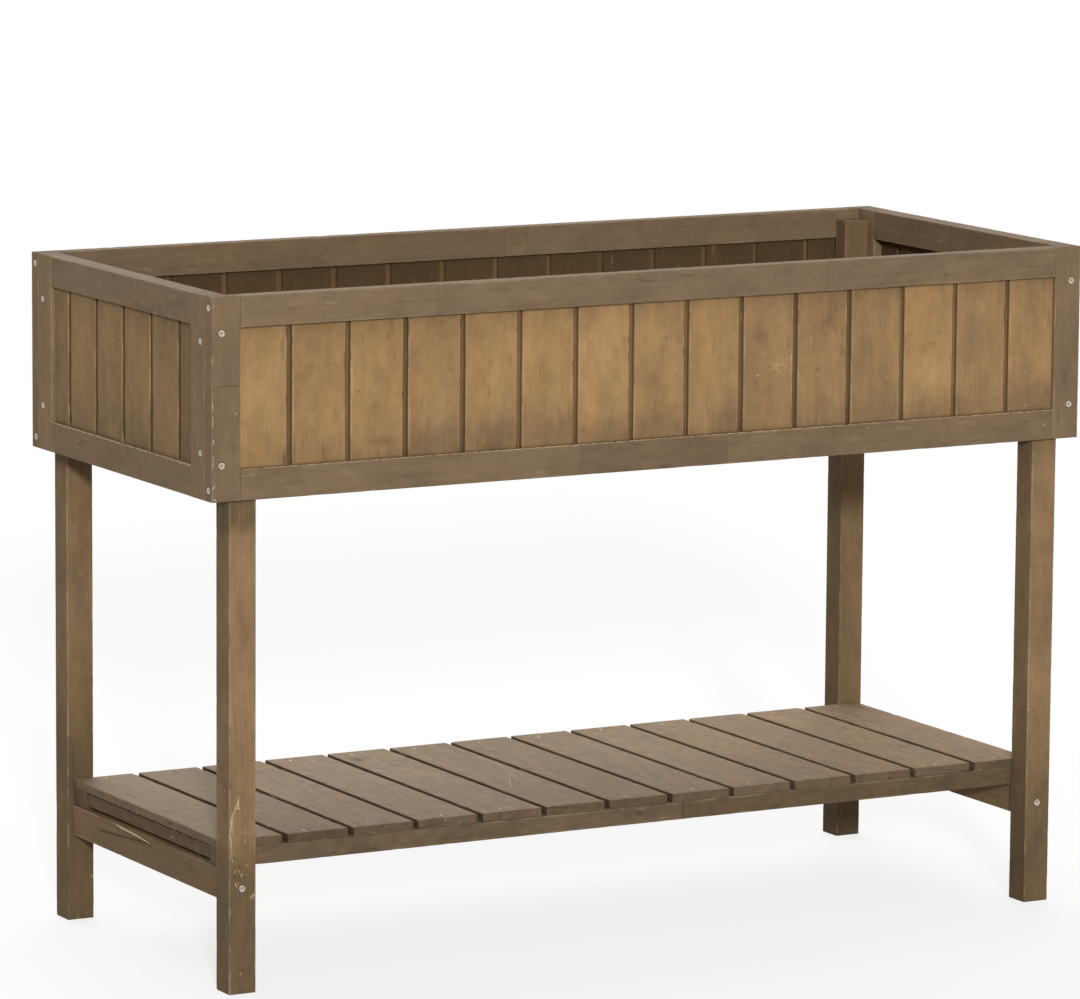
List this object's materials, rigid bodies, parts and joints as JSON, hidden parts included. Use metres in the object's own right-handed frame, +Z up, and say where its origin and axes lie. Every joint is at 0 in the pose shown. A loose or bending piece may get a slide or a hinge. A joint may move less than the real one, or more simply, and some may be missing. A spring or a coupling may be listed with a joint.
{
  "type": "raised planter with shelf",
  "caption": "Raised wooden planter: an open framed trough of upright tongue-and-groove boards on square legs, with a slatted storage shelf near the ground.",
  "frame": {"origin": "on the ground below the middle of the box, level with the soles of the legs", "axes": "+X along the length, to the right seen from the front; +Y from front to back; +Z up"},
  "size_m": [1.1, 0.46, 0.76],
  "materials": {
    "frame_wood": "taupe-brown stained softwood, matt",
    "board_wood": "warm tan stained softwood, matt",
    "leg_wood": "brown stained softwood, matt",
    "shelf_wood": "greyed brown stained softwood, matt",
    "floor_wood": "thinly stained softwood, matt",
    "zinc_screws": "zinc plated"
  },
  "bodies": {
    "root": {"back_boards": "board_wood", "back_bottom_rail": "frame_wood", "back_floor_ledger": "floor_wood", "back_left_leg": "leg_wood", "back_left_stile": "frame_wood", "back_right_leg": "leg_wood", "back_right_stile": "frame_wood", "back_top_rail": "frame_wood", "corner_screws": "zinc_screws", "floor_boards": "floor_wood", "floor_end_board_left": "floor_wood", "floor_end_board_right": "floor_wood", "frame_screws": "zinc_screws", "front_boards": "board_wood", "front_bottom_rail": "frame_wood", "front_floor_ledger": "floor_wood", "front_left_leg": "leg_wood", "front_left_stile": "frame_wood", "front_right_leg": "leg_wood", "front_right_stile": "frame_wood", "front_top_rail": "frame_wood", "ledger_screws": "zinc_screws", "left_boards": "board_wood", "left_bottom_rail": "frame_wood", "left_left_stile": "frame_wood", "left_right_stile": "frame_wood", "left_stretcher": "leg_wood", "left_top_rail": "frame_wood", "leg_screws": "zinc_screws", "right_boards": "board_wood", "right_bottom_rail": "frame_wood", "right_left_stile": "frame_wood", "right_right_stile": "frame_wood", "right_stretcher": "leg_wood", "right_top_rail": "frame_wood", "shelf_back_beam_left": "shelf_wood", "shelf_back_beam_right": "shelf_wood", "shelf_end_batten_left": "shelf_wood", "shelf_end_batten_right": "shelf_wood", "shelf_front_beam_left": "shelf_wood", "shelf_front_beam_right": "shelf_wood", "shelf_screws": "zinc_screws", "shelf_slat_01": "shelf_wood", "shelf_slat_02": "shelf_wood", "shelf_slat_03": "shelf_wood", "shelf_slat_04": "shelf_wood", "shelf_slat_05": "shelf_wood", "shelf_slat_06": "shelf_wood", "shelf_slat_07": "shelf_wood", "shelf_slat_08": "shelf_wood", "shelf_slat_09": "shelf_wood", "shelf_slat_10": "shelf_wood", "shelf_slat_11": "shelf_wood", "shelf_slat_12": "shelf_wood", "shelf_slat_13": "shelf_wood", "stretcher_screws": "zinc_screws"}
  },
  "joints": []
}
